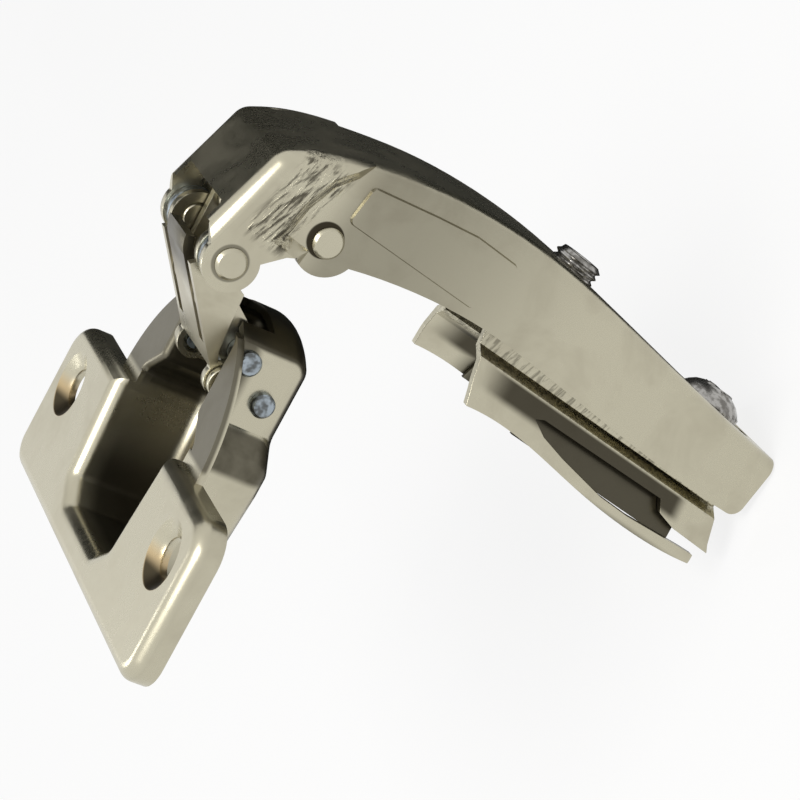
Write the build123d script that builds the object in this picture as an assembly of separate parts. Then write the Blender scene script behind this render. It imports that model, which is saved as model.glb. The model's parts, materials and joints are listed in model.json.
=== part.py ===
from build123d import *
import os
from math import acos, atan2, cos, hypot, radians, sin

# Concealed cup hinge for an overlay door, shown wide open.
# Millimetres. The origin is the cup's axis on the door's surface.
# +X points to the door's edge, Y is the hinge's axis, +Z leaves the door.

# Sheet of each folded piece
cup_sheet = 0.9
arm_sheet = 1.2
outer_link_sheet = 1.2
inner_link_sheet = 1.2
cup_link_sheet = 1.0
arm_link_sheet = 1.2
holder_sheet = 1.0

# Stack of the links and walls along Y, each value is a half width
side_gap = 0.2
inner_link_gap = 0.3
wall_overlap = 0.1
washer_gap = 0.05
tube_gap = 0.1
front_washer_room = 1.7
outer_link_half_width = 6.7
inner_link_half_width = outer_link_half_width - outer_link_sheet - inner_link_gap
arm_link_half_width = inner_link_half_width - inner_link_sheet - side_gap
arm_link_inside = arm_link_half_width - arm_link_sheet
cup_link_inside = outer_link_half_width + side_gap
cup_link_outside = cup_link_inside + cup_link_sheet
arm_half_width = outer_link_half_width + side_gap + arm_sheet
nose_half_width = outer_link_half_width + front_washer_room + arm_sheet

# Screw flange and cup
flange_front = 0.6
flange_back = -19.2
flange_half_width = 31.2
flange_height = 3.3
flange_front_corner = 4.0
flange_back_corner = 3.5
flange_bend = 1.7
bore_radius = 17.5
cup_clearance = 0.1
cup_floor_room = 1.1
cup_back = -14.5
cup_back_half_width = 6.8
cup_shoulder_x = -12.0
cup_shoulder_half_width = 10.0
cup_half_width = 11.6
throat_start = 2.6
throat_end = 5.6
throat_half_width = cup_link_outside + side_gap
cup_corner = 1.2
cup_bottom_bend = 1.8
rim_bend = 1.7
ledge_rim_bend = 0.8
ledge_inner_bend = 0.2
ledge_end = 15.2
front_notch_start = 14.0
front_notch_half_width = 5.6
front_notch_floor = -4.2

# Screw holes of the flange
screw_hole_x = -6.1
screw_hole_spacing = 48.0
screw_hole_radius = 2.3
screw_dish_radius = 4.1
screw_dish_depth = 1.1

# Pivots of the scissor, X and Z, at the open end of the travel
scissor_pivot = (13.1, -1.5)
control_pivot = (9.3, -5.3)
scissor_centre = (17.54, 3.98)
control_joint = (9.41, -0.75)
arm_front_pivot = (22.64, 6.07)
arm_rear_pivot = (28.8, -3.5)
arm_link_joint = (26.67, 3.97)

# Pins and their fits
cup_pin_radius = 1.45
cup_pin_stand_out = 1.0
centre_pin_radius = 1.1
control_rivet_radius = 0.9
arm_link_pin_radius = 1.1
arm_pin_radius = 1.85
arm_pin_stand_out = 0.5
pin_chamfer = 0.35
pin_fit = 0.05
press_fit = 0.01
through = 20
cup_link_pivot_round = 2.1
cup_depth = cup_sheet + cup_floor_room + cup_link_pivot_round - control_pivot[1]
control_joint_play = 0.5
arm_link_joint_play = 0.42

# Outer link, along and away from the line of its web
web_angle = 218.5
web_distance = 3.9
web_end = 12.6
slot_end = 10.0
tab_half_width = inner_link_half_width - inner_link_sheet - inner_link_gap
hood_sweep = 35.0
outer_lobe_radius = 3.1
control_lobe_radius = 2.1
control_lobe_cut = 1.3
control_lobe_reach = 1.5
lower_edge = [(12.4, 1.25), (16.2, 1.6), (19.4, 1.75)]
lobe_tangent = 2.2

# Round ends of the small links and the rings beside them
inner_link_round = 2.3
inner_link_neck = 1.9
inner_link_middle_round = 2.2
bridge_set_back = 1.2
bridge_end_set_back = 3.4
bridge_fall = 0.05
cup_link_joint_round = 1.9
arm_link_pivot_round = 3.0
arm_link_joint_round = 1.9
washer_radius = 3.0
tube_radius = 2.7
centre_pin_seat = 0.7
arm_link_pin_end = 0.05

# Arm, along (u) and across (v) its length from the front pivot
arm_angle = 260.0
arm_bend = 1.8
crease_radius = 2.4
arm_length = 73.0
arm_end_top = 16.9
arm_end_low = 8.7
arm_end_corner = 1.6
front_lobe_radius = 3.3
rear_lobe_radius = 4.0
nose_notch = 4.8
pad_height = 0.4
pad_corner = 1.0
pad_root = 0.5
pad_taper = 20

# Screws
side_screw_place = 38.9
side_screw_radius = 3.0
side_screw_top = 22.5
side_screw_length = 10.2
depth_screw_end_margin = 8.0
depth_screw_place = arm_length - depth_screw_end_margin
depth_screw_radius = 2.5
depth_head_radius = 4.2
depth_head_height = 2.9
depth_screw_length = 9.5
thread_fit = 0.06
slot_fit = 0.3
depth_travel = 2.0
seat_margin = 0.4
seat_press = 0.15
cross_width = 0.9
cross_length = 4.4
cross_depth = 1.2
socket_width = 2.6
socket_depth = 2.4
screw_chamfer = 0.5
screw_tip_length = 1.2
screw_tip_taper = 0.9
head_profile = [(0.4, 0.1), (0.8, 0.8), (1.0, 1.9)]

# Holder that slides on a mounting plate
holder_web_height = 14.4
holder_side_gap = 0.3
holder_inside = arm_half_width - arm_sheet - holder_side_gap
holder_bend = 1.0
holder_ridge_half_width = arm_half_width
lip_flare = 2.1
holder_lip_half_width = holder_ridge_half_width + lip_flare
ridge_gap = 0.5
ridge_top = arm_end_low - ridge_gap
ridge_fall = 1.0
lip_lean = 0.6
lip_height = 2.0
lip_end = 1.6
lip_drop = 1.3
nut_height = 2.4

# Holder's outline seen from the side, (u, v)
holder_front_edge = [(31.3, 9.8), (32.1, 7.1), (32.6, 4.5), (33.4, 1.8)]
holder_lip_line = [(33.4, 1.8), (40.9, 2.2), (52.0, 1.0), (60.0, 0.5), (70.3, 1.2)]
holder_rear_edge = [(70.3, 1.2), (70.3, 2.7), (72.0, 3.3), (71.5, 4.3), (70.6, 8.1)]
holder_window = [
    (42.3, 4.9),
    (43.5, 5.4),
    (62.6, 5.6),
    (63.4, 4.2),
    (66.0, 3.6),
    (80.0, 3.2),
    (80.0, 2.6),
    (68.4, 2.3),
    (59.6, 1.8),
    (55.0, 1.9),
    (48.0, 3.0),
    (44.4, 3.8),
]

def unit(angle):
    return (cos(radians(angle)), sin(radians(angle)))


arm_u = unit(arm_angle)
arm_v = unit(arm_angle + 90)
arm_frame = Plane(
    origin=(arm_front_pivot[0], 0, arm_front_pivot[1]),
    x_dir=(arm_u[0], 0, arm_u[1]),
    z_dir=(0, -1, 0),
)
side_frame = Plane.XZ


def in_arm(point):
    """Place (u, v) of a point given in X and Z."""
    x = point[0] - arm_front_pivot[0]
    z = point[1] - arm_front_pivot[1]
    return (x * arm_u[0] + z * arm_u[1], x * arm_v[0] + z * arm_v[1])


def slab(frame, face, low, high):
    """Flat piece between two values of Y from an outline in a side frame."""
    placed = Pos(0, high, 0) * (frame * face)
    return extrude(placed, amount=high - low, dir=(0, -1, 0))


def pair(frame, face, inner, outer):
    """The same flat piece on both sides of the middle."""
    return slab(frame, face, inner, outer) + slab(frame, face, -outer, -inner)


def disc(centre, radius):
    return Pos(centre[0], centre[1]) * Circle(radius)


def bar(first, second, first_radius, second_radius):
    """Outline of two round ends joined by their common tangents."""
    dx = second[0] - first[0]
    dy = second[1] - first[1]
    gap = hypot(dx, dy)
    lean = acos((first_radius - second_radius) / gap)
    heading = atan2(dy, dx)
    left = (cos(heading + lean), sin(heading + lean))
    right = (cos(heading - lean), sin(heading - lean))
    middle = Polygon(
        (first[0] + first_radius * right[0], first[1] + first_radius * right[1]),
        (second[0] + second_radius * right[0], second[1] + second_radius * right[1]),
        (second[0] + second_radius * left[0], second[1] + second_radius * left[1]),
        (first[0] + first_radius * left[0], first[1] + first_radius * left[1]),
        align=None,
    )
    return middle + disc(first, first_radius) + disc(second, second_radius)


def pin(place, radius, low, high, chamfered=True):
    """Round pin along Y between two values of Y."""
    rod = slab(side_frame, disc(place, radius), low, high)
    if chamfered:
        rod = chamfer(rod.edges().filter_by(GeomType.CIRCLE), pin_chamfer)
    return rod


def save(name, shape):
    export_step(shape, f"parts/{name}.step")


def flange_outline(inset):
    back = flange_back + inset
    front = flange_front - inset
    half = flange_half_width - inset
    outline = Pos((back + front) / 2, 0) * Rectangle(front - back, 2 * half)
    fronts = outline.vertices().group_by(Axis.X)[-1]
    outline = fillet(fronts, flange_front_corner - inset)
    backs = outline.vertices().group_by(Axis.X)[0]
    return fillet(backs, flange_back_corner - inset)


def cavity_outline(grow, throat=True):
    """Plan of the drawn cup: wide at the back, a narrow throat in front."""
    reach = bore_radius
    back = [
        (cup_back, 0),
        (cup_back, cup_back_half_width),
        (cup_shoulder_x, cup_shoulder_half_width),
        (flange_front - 1, cup_half_width),
    ]
    if throat:
        front = [
            (throat_start, cup_half_width),
            (throat_end, throat_half_width),
            (reach, throat_half_width),
            (reach, 0),
        ]
    else:
        front = [(throat_start, cup_half_width), (throat_start, 0)]
    half = Polygon(*back, *front, align=None)
    whole = half + mirror(half, Plane.XZ)
    whole = whole & Circle(bore_radius - cup_clearance - cup_sheet)
    whole = fillet(whole.vertices().filter_by(lambda p: abs(p.Y) > 1), cup_corner)
    if grow > 0:
        whole = offset(whole, amount=grow, kind=Kind.ARC)
    return whole


def flared_plug(plan, floor, mouth, bend):
    """Tool with the shape of the hollow, its mouth rolled outwards."""
    plug = Pos(0, 0, floor) * extrude(plan, amount=mouth - floor, dir=(0, 0, 1))
    over = Pos(0, 0, mouth + 5) * Box(120, 120, 10)
    tool = plug + over
    near = tool.edges().filter_by_position(Axis.Z, mouth - 0.01, mouth + 0.01)
    near = near.filter_by(lambda edge: abs(edge.center().X) < 30 and abs(edge.center().Y) < 30)
    return fillet(near, bend)


def cup_block(sheet, top, low, floor, bend, ledge_bend, bottom_bend):
    """Solid under one face of the stamped sheet, cup hollow taken out."""
    below = -cup_depth - 2
    tray = Pos(0, 0, below) * extrude(flange_outline(sheet), amount=top - below)
    tray = fillet(tray.faces().sort_by(Axis.Z)[-1].edges(), bend)
    ledge = Pos(0, 0, below) * extrude(Circle(bore_radius + 3 * sheet), amount=low - below)
    ledge = ledge & (Pos(50 + flange_front - 5, 0, 0) * Box(100, 100, 100))
    block = tray + ledge
    plan = cavity_outline(sheet)
    hollow = Pos(0, 0, floor) * extrude(plan, amount=top - floor + 5, dir=(0, 0, 1))
    hollow = fillet(hollow.faces().sort_by(Axis.Z)[0].edges(), bottom_bend)
    block = block - hollow
    block = block - flared_plug(cavity_outline(sheet, False), -1.0, top, bend)
    front = Pos(50 + flange_front + rim_bend, 0, 0) * Box(100, 100, 100)
    return block - (flared_plug(plan, -1.0, low, ledge_bend) & front)


def make_cup():
    upper = cup_block(
        0,
        flange_height,
        cup_sheet,
        cup_sheet - cup_depth,
        flange_bend,
        ledge_rim_bend,
        cup_bottom_bend,
    )
    lower = cup_block(
        cup_sheet,
        flange_height - cup_sheet,
        0,
        -cup_depth,
        flange_bend - cup_sheet,
        ledge_inner_bend,
        cup_bottom_bend + cup_sheet,
    )
    cup = upper - lower
    door_side = Pos(0, 0, -20) * Box(100, 100, 40)
    plan = cavity_outline(cup_sheet)
    drawn = Pos(0, 0, -cup_depth - 3) * extrude(plan, amount=cup_depth + 3.001, dir=(0, 0, 1))
    cup = cup - (door_side - drawn)
    front_gate = Pos(ledge_end + 10, 0, 10) * Box(20, 60, 20)
    cup = cup - front_gate
    reach = bore_radius - front_notch_start
    notch = Pos(front_notch_start + reach, 0) * Rectangle(2 * reach, 2 * front_notch_half_width)
    cup = cup - Pos(0, 0, front_notch_floor) * extrude(notch, amount=20)
    for side in (-1, 1):
        place = Pos(screw_hole_x, side * screw_hole_spacing / 2, flange_height)
        slope = screw_dish_radius - screw_hole_radius
        dish = place * revolve(
            Plane.XZ
            * Polygon(
                (0, 0),
                (screw_dish_radius + cup_sheet, 0),
                (screw_dish_radius + cup_sheet, -cup_sheet),
                (screw_dish_radius + cup_sheet - slope, -cup_sheet - screw_dish_depth),
                (0, -cup_sheet - screw_dish_depth),
                align=None,
            ),
            Axis.Z,
        )
        sink = place * revolve(
            Plane.XZ
            * Polygon(
                (0, 5),
                (screw_dish_radius, 5),
                (screw_dish_radius, 0),
                (screw_hole_radius, -screw_dish_depth),
                (screw_hole_radius, -10),
                (0, -10),
                align=None,
            ),
            Axis.Z,
        )
        cup = cup + dish - sink
    for place in (scissor_pivot, control_pivot):
        cup = cup - pin(place, cup_pin_radius + press_fit, -through, through, False)
    return cup


def cup_pin(place):
    end = throat_half_width + cup_sheet + cup_pin_stand_out
    return pin(place, cup_pin_radius, -end, end)


# Outer link: a channel whose web is the visible tab in front of the cup
link_heading = unit(web_angle)
link_normal = unit(web_angle - 90)


def on_link(along, away):
    """X and Z of a place on the outer link, measured from the arm's front pivot."""
    return (
        arm_front_pivot[0] + along * link_heading[0] + away * link_normal[0],
        arm_front_pivot[1] + along * link_heading[1] + away * link_normal[1],
    )


def make_outer_link():
    inside = outer_link_half_width - outer_link_sheet
    cheek = Polygon(
        on_link(0, web_distance),
        on_link(web_end, web_distance),
        (control_joint[0] - control_lobe_cut, control_joint[1] + control_lobe_reach),
        (control_joint[0] + control_lobe_reach, control_joint[1] + control_lobe_cut),
        *lower_edge,
        (arm_front_pivot[0] - lobe_tangent, arm_front_pivot[1] - lobe_tangent),
        arm_front_pivot,
        align=None,
    )
    cheek = cheek + disc(control_joint, control_lobe_radius) + disc(arm_front_pivot, outer_lobe_radius)
    cheeks = pair(side_frame, cheek, inside, outer_link_half_width)
    web = Polygon(
        on_link(0, web_distance),
        on_link(web_end, web_distance),
        on_link(web_end, web_distance - outer_link_sheet),
        on_link(0, web_distance - outer_link_sheet),
        align=None,
    )
    hood_ring = disc(arm_front_pivot, web_distance) - disc(arm_front_pivot, web_distance - outer_link_sheet)
    far = 3 * web_distance
    first = unit(web_angle - 90)
    last = unit(web_angle - 90 - hood_sweep)
    wedge = Polygon(
        arm_front_pivot,
        (arm_front_pivot[0] + far * first[0], arm_front_pivot[1] + far * first[1]),
        (arm_front_pivot[0] + far * last[0], arm_front_pivot[1] + far * last[1]),
        align=None,
    )
    hood = hood_ring & wedge
    tab = slab(side_frame, web + hood, -tab_half_width, tab_half_width)
    lower_web = Polygon(
        on_link(slot_end, web_distance),
        on_link(web_end, web_distance),
        on_link(web_end, web_distance - outer_link_sheet),
        on_link(slot_end, web_distance - outer_link_sheet),
        align=None,
    )
    link = cheeks + tab + slab(side_frame, lower_web, -inside - wall_overlap, inside + wall_overlap)
    link = link - pin(arm_front_pivot, arm_pin_radius + pin_fit, -through, through, False)
    seat = inside + centre_pin_seat
    link = link - pin(scissor_centre, centre_pin_radius + press_fit, -seat, seat, False)
    play = control_rivet_radius + control_joint_play
    return link - pin(control_joint, play, -through, through, False)


def make_inner_link():
    inside = inner_link_half_width - inner_link_sheet
    outline = bar(scissor_pivot, scissor_centre, inner_link_round, inner_link_neck)
    outline = outline + bar(scissor_centre, arm_link_joint, inner_link_middle_round, inner_link_round)
    cheeks = pair(side_frame, outline, inside, inner_link_half_width)
    bridge_low = scissor_centre[1] - inner_link_middle_round
    bridge_start = scissor_centre[0] + bridge_set_back
    bridge_end = arm_link_joint[0] - bridge_end_set_back
    bridge = Polygon(
        (bridge_start, bridge_low),
        (bridge_end, bridge_low - bridge_fall),
        (bridge_end, bridge_low + inner_link_sheet),
        (bridge_start, bridge_low + inner_link_sheet),
        align=None,
    )
    link = cheeks + slab(side_frame, bridge, -inside - wall_overlap, inside + wall_overlap)
    link = link - pin(scissor_pivot, cup_pin_radius + pin_fit, -through, through, False)
    link = link - pin(scissor_centre, centre_pin_radius + pin_fit, -through, through, False)
    play = arm_link_pin_radius + arm_link_joint_play
    return link - pin(arm_link_joint, play, -through, through, False)


def make_cup_side_links():
    outline = bar(control_pivot, control_joint, cup_link_pivot_round, cup_link_joint_round)
    outline = outline - disc(control_pivot, cup_pin_radius + pin_fit)
    outline = outline - disc(control_joint, control_rivet_radius + press_fit)
    return pair(side_frame, outline, cup_link_inside, cup_link_outside)


def make_control_rivets():
    low = outer_link_half_width - outer_link_sheet
    right = pin(control_joint, control_rivet_radius, low, cup_link_outside, False)
    left = pin(control_joint, control_rivet_radius, -cup_link_outside, -low, False)
    return right + left


def make_arm_side_links():
    outline = bar(arm_rear_pivot, arm_link_joint, arm_link_pivot_round, arm_link_joint_round)
    outline = outline - disc(arm_rear_pivot, arm_pin_radius + pin_fit)
    outline = outline - disc(arm_link_joint, arm_link_pin_radius + press_fit)
    return pair(side_frame, outline, arm_link_inside, arm_link_half_width)


# Arm's outline, (u, v) along the folded channel
nose_front = (-4.6, 2.4)
nose_top = (-2.9, 12.9)
pad_outline = [(8.4, 10.7), (8.4, 15.9), (17.0, 17.4), (22.5, 18.2), (29.0, 18.1), (29.5, 13.6), (27.3, 10.7)]
top_line = [
    nose_top,
    (1.5, 15.6),
    (8.7, 18.1),
    (16.4, 19.9),
    (25.0, 20.9),
    (34.5, 20.95),
    (43.8, 20.1),
    (55.0, 18.7),
    (arm_length, arm_end_top),
]
low_line = [
    (arm_length, arm_end_low),
    (57.5, 8.7),
    (40.9, 9.6),
    (30.0, 9.85),
    (22.0, 9.0),
    (12.0, 6.6),
]


def arm_block_face(inset):
    """Side of the folded block before its lower edge is cut."""
    drop = -12
    top = Spline(*[(u, v - inset) for u, v in top_line])
    slope = (nose_front[0] - nose_top[0]) / (nose_top[1] - nose_front[1])
    foot = (nose_top[0] + inset + slope * (nose_top[1] - drop), drop)
    end = top @ 1 + (top % 1) * 3
    edges = [
        Line(foot, top @ 0),
        top,
        Polyline(top @ 1, end, (end.X, drop), foot),
    ]
    return round_crease(make_face(edges), top @ 0, crease_radius - inset)


def arm_side_face():
    """What is left of each side after the lower edge and the lobes are cut."""
    rear = in_arm(arm_rear_pivot)
    low = Spline(*low_line)
    edges = [
        Polyline((-20, nose_front[1]), nose_front, (-front_lobe_radius, 0.6), (0, 0)),
        Polyline((0, 0), (2.6, 1.5), (4.8, 4.0), (6.1, 4.7), rear, low @ 1),
        low,
        Polyline(low @ 0, (arm_length, 40), (-20, 40), (-20, nose_front[1])),
    ]
    face = make_face(edges)
    face = fillet(face.vertices().sort_by_distance(low_line[0])[0], arm_end_corner)
    return face + disc((0, 0), front_lobe_radius) + disc(rear, rear_lobe_radius)


def round_crease(face, place, radius):
    """Round the outline's corner between the nose's front and the top."""
    return fillet(face.vertices().sort_by_distance(place)[0], radius)


def nose_region(step):
    """Part of the side frame in front of the joggle."""
    return Polygon(
        (-20, -20),
        (5.6, -20),
        (5.6, 4.4 - step),
        (2.0 - step, 4.6 - step),
        (2.5 - step, 6.5),
        (2.6 - step, 9.8),
        (3.7 - step, 13.9),
        (5.3 - step, 16.2),
        (6.2 - step, 19.0),
        (6.2 - step, 40),
        (-20, 40),
        align=None,
    )


def joggle_tool(step, half, nose):
    """Space in front of the joggle, widening to the wall behind by a slope."""
    face = arm_frame * nose_region(step)
    far = extrude(Pos(0, nose, 0) * face, amount=nose - half, dir=(0, -1, 0), taper=-45)
    near = extrude(Pos(0, -nose, 0) * face, amount=nose - half, dir=(0, 1, 0), taper=-45)
    middle = slab(arm_frame, nose_region(step - nose + half), -half, half)
    return far + middle + near


def bent_slab(inset, half):
    """Folded block with its top and front edges rounded."""
    block = slab(arm_frame, arm_block_face(inset), -half, half)
    chosen = []
    for edge in block.edges():
        middle = arm_frame.to_local_coords(edge.center())
        above = middle.Y > 12 and middle.X < arm_length - 5
        front = middle.X < -1.5 + inset
        if abs(middle.Z) > half - 0.01 and (above or front):
            chosen.append(edge)
    return fillet(ShapeList(chosen), arm_bend - inset)


def pressed_pads(inset, half):
    """Raised fields of the sides behind the joggle."""
    outline = Polygon(*pad_outline, align=None)
    outline = fillet(outline.vertices(), pad_corner)
    outline = offset(outline, amount=-inset / 2)
    place = half - pad_root
    rise = pad_height + pad_root
    far = extrude(Pos(0, place, 0) * (arm_frame * outline), amount=rise, dir=(0, 1, 0), taper=pad_taper)
    near = extrude(Pos(0, -place, 0) * (arm_frame * outline), amount=rise, dir=(0, -1, 0), taper=pad_taper)
    return far + near


def screw_seat(inset):
    """Space over the flat that is pressed into the top for the depth screw's head."""
    reach = depth_head_radius + seat_margin + inset
    place = arm_frame * Location((depth_screw_place, seat_height - inset, 0), (90, 0, 0))
    return place * extrude(SlotCenterToCenter(2 * depth_travel, 2 * reach), amount=-10)


def arm_solid(inset, half, nose):
    body = bent_slab(inset, half)
    wide = bent_slab(inset, nose)
    folded = body + (wide & joggle_tool(inset, half, nose)) + pressed_pads(inset, half)
    return folded - screw_seat(inset)


def make_arm():
    inner_half = arm_half_width - arm_sheet
    nose_inner = nose_half_width - arm_sheet
    outside = arm_solid(0, arm_half_width, nose_half_width)
    outside = outside & slab(arm_frame, arm_side_face(), -through, through)
    arm = outside - arm_solid(arm_sheet, inner_half, nose_inner)
    notch = Pos(-5, nose_notch - 10) * Rectangle(10, 20)
    notch_half = outer_link_half_width + 2 * side_gap
    arm = arm - slab(arm_frame, notch, -notch_half, notch_half)
    low_front = Pos(-10, nose_front[1] - 10) * Rectangle(31, 20)
    arm = arm - slab(arm_frame, low_front, -nose_inner, nose_inner)
    arm = arm - slab(arm_frame, disc((0, 0), arm_pin_radius + press_fit), -through, through)
    arm = arm - slab(arm_frame, disc(in_arm(arm_rear_pivot), arm_pin_radius + press_fit), -through, through)
    arm = arm - arm_bore(side_screw_place, side_screw_radius + thread_fit)
    return arm - arm_slot(depth_screw_place, depth_screw_radius + slot_fit)


def arm_bore(along, radius):
    """Upright round tool through the arm's top and the holder."""
    place = arm_frame * Location((along, 0, 0), (90, 0, 0))
    return place * extrude(Circle(radius), amount=-40)


def arm_slot(along, radius):
    """The same, long enough for the depth adjustment."""
    place = arm_frame * Location((along, 0, 0), (90, 0, 0))
    return place * extrude(SlotCenterToCenter(2 * depth_travel, 2 * radius), amount=-40)


def upright(along, profile):
    """Turned piece about the arm's v direction; profile is (radius, v)."""
    face = Polygon(*profile, align=None)
    turned = revolve(Plane.XY * face, Axis.Y)
    return arm_frame * Location((along, 0, 0)) * turned


def make_side_screw():
    low = side_screw_top - side_screw_length
    screw = upright(
        side_screw_place,
        [
            (0, side_screw_top),
            (side_screw_radius - screw_chamfer, side_screw_top),
            (side_screw_radius, side_screw_top - screw_chamfer),
            (side_screw_radius, low + screw_tip_length),
            (side_screw_radius - screw_tip_taper, low),
            (0, low),
        ],
    )
    place = arm_frame * Location((side_screw_place, side_screw_top - socket_depth, 0), (90, 0, 0))
    return screw - place * extrude(RegularPolygon(socket_width / 2, 6), amount=-10)


def top_at(along):
    """Height of the arm's top edge, v, at a distance along the arm."""
    line = Spline(*top_line)
    low = 0.0
    high = 1.0
    for _ in range(40):
        middle = (low + high) / 2
        if (line @ middle).X < along:
            low = middle
        else:
            high = middle
    return (line @ low).Y


seat_height = top_at(depth_screw_place + depth_travel + depth_head_radius + 2 * seat_margin) - seat_press


def make_depth_screw():
    seat = seat_height + pin_fit
    top = seat + depth_head_height
    screw = upright(
        depth_screw_place,
        [
            (0, top),
            *[(depth_head_radius * share, top - drop) for share, drop in head_profile],
            (depth_head_radius, seat),
            (depth_screw_radius, seat),
            (depth_screw_radius, seat - depth_screw_length),
            (0, seat - depth_screw_length),
        ],
    )
    cross = Rectangle(cross_length, cross_width) + Rectangle(cross_width, cross_length)
    place = arm_frame * Location((depth_screw_place, top - cross_depth, 0), (90, 0, 0))
    return screw - place * extrude(cross, amount=-10)


def make_front_rivets():
    low = outer_link_half_width - outer_link_sheet + washer_gap
    high = nose_half_width + arm_pin_stand_out
    return pin(arm_front_pivot, arm_pin_radius, low, high) + pin(arm_front_pivot, arm_pin_radius, -high, -low)


def make_rear_pin():
    end = arm_half_width + arm_pin_stand_out
    return pin(arm_rear_pivot, arm_pin_radius, -end, end)


def make_front_washers():
    low = outer_link_half_width + washer_gap
    high = nose_half_width - arm_sheet
    ring = disc(arm_front_pivot, washer_radius) - disc(arm_front_pivot, arm_pin_radius + press_fit)
    return pair(side_frame, ring, low, high)


def make_rear_spacers():
    low = arm_link_half_width + tube_gap
    high = arm_half_width - arm_sheet
    ring = disc(arm_rear_pivot, tube_radius) - disc(arm_rear_pivot, arm_pin_radius + press_fit)
    return pair(side_frame, ring, low, high)


def make_holder_solid():
    points = [
        (0, holder_web_height),
        (holder_inside - holder_bend, holder_web_height),
        (holder_inside, holder_web_height - holder_bend),
        (holder_inside, ridge_top),
        (holder_ridge_half_width, ridge_top - ridge_fall),
        (holder_lip_half_width - lip_lean, lip_end + lip_height),
        (holder_lip_half_width, lip_end),
        (holder_lip_half_width, lip_end - lip_drop),
    ]
    section = trace_sheet(points, holder_sheet)
    front = holder_front_edge[0][0] - 1
    rear = holder_rear_edge[2][0] + 1
    place = arm_frame * Plane(origin=(front, 0, 0), x_dir=(0, 0, 1), z_dir=(-1, 0, 0))
    body = extrude(place * section, amount=rear - front, dir=(arm_u[0], 0, arm_u[1]))
    body = body & slab(arm_frame, holder_side_face(), -through, through)
    window = Polygon(*holder_window, align=None)
    body = body - pair(arm_frame, window, holder_inside + side_gap, through)
    body = body - arm_slot(side_screw_place, side_screw_radius + slot_fit)
    return body - arm_bore(depth_screw_place, depth_screw_radius + thread_fit)


def holder_side_face():
    """Side outline of the holder: cut front, waved lip, split rear end."""
    over = holder_web_height + 5
    lip = Spline(*holder_lip_line)
    edges = [
        Polyline((holder_front_edge[0][0], over), *holder_front_edge),
        lip,
        Polyline(*holder_rear_edge, (holder_rear_edge[-1][0], over), (holder_front_edge[0][0], over)),
    ]
    return make_face(edges)


def trace_sheet(points, sheet):
    """Closed section of a bent sheet, mirrored about the middle."""
    inner = []
    for index, point in enumerate(points):
        before = points[index - 1] if index > 0 else None
        after = points[index + 1] if index + 1 < len(points) else None
        inner.append(offset_corner(before, point, after, sheet))
    ring = list(points) + list(reversed(inner))
    half = Polygon(*ring, align=None)
    return half + mirror(half, Plane.YZ)


def offset_corner(before, point, after, sheet):
    """Corner of a bent sheet moved to the sheet's inner face."""
    normals = []
    for start, end in ((before, point), (point, after)):
        if start is None or end is None:
            continue
        length = hypot(end[0] - start[0], end[1] - start[1])
        normals.append(((end[1] - start[1]) / length, -(end[0] - start[0]) / length))
    if len(normals) == 1:
        nx, ny = normals[0]
        return (point[0] + nx * sheet, point[1] + ny * sheet)
    sx = normals[0][0] + normals[1][0]
    sy = normals[0][1] + normals[1][1]
    scale = 2 / (sx * sx + sy * sy)
    return (point[0] + sx * scale * sheet, point[1] + sy * scale * sheet)


def make_nut():
    top = holder_web_height - holder_sheet
    inner = depth_screw_radius + thread_fit
    outer = holder_inside - holder_sheet - holder_bend
    profile = [(inner, top), (outer, top), (outer, top - nut_height), (inner, top - nut_height)]
    return upright(depth_screw_place, profile)


os.makedirs("parts", exist_ok=True)
save("hinge_cup", make_cup())
save("scissor_pivot_pin", cup_pin(scissor_pivot))
save("control_pivot_pin", cup_pin(control_pivot))
save("outer_link", make_outer_link())
save("inner_link", make_inner_link())
save("cup_side_links", make_cup_side_links())
save("control_link_rivets", make_control_rivets())
save("arm_side_links", make_arm_side_links())
arm_link_half = inner_link_half_width + arm_link_pin_end
save("arm_link_pin", pin(arm_link_joint, arm_link_pin_radius, -arm_link_half, arm_link_half, False))
centre_half = outer_link_half_width - outer_link_sheet + centre_pin_seat
save("scissor_centre_pin", pin(scissor_centre, centre_pin_radius, -centre_half, centre_half, False))
save("arm_front_rivets", make_front_rivets())
save("arm_rear_pin", make_rear_pin())
save("front_spacer_washers", make_front_washers())
save("rear_spacer_tubes", make_rear_spacers())
save("hinge_arm", make_arm())
save("side_adjusting_screw", make_side_screw())
save("depth_screw", make_depth_screw())
save("holder_slide_plate", make_holder_solid())
save("depth_clamp_nut", make_nut())
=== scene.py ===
import json
import math

import bmesh
import bpy
from bpy.props import FloatProperty, FloatVectorProperty, IntProperty, PointerProperty
from mathutils import Matrix, Vector


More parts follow.
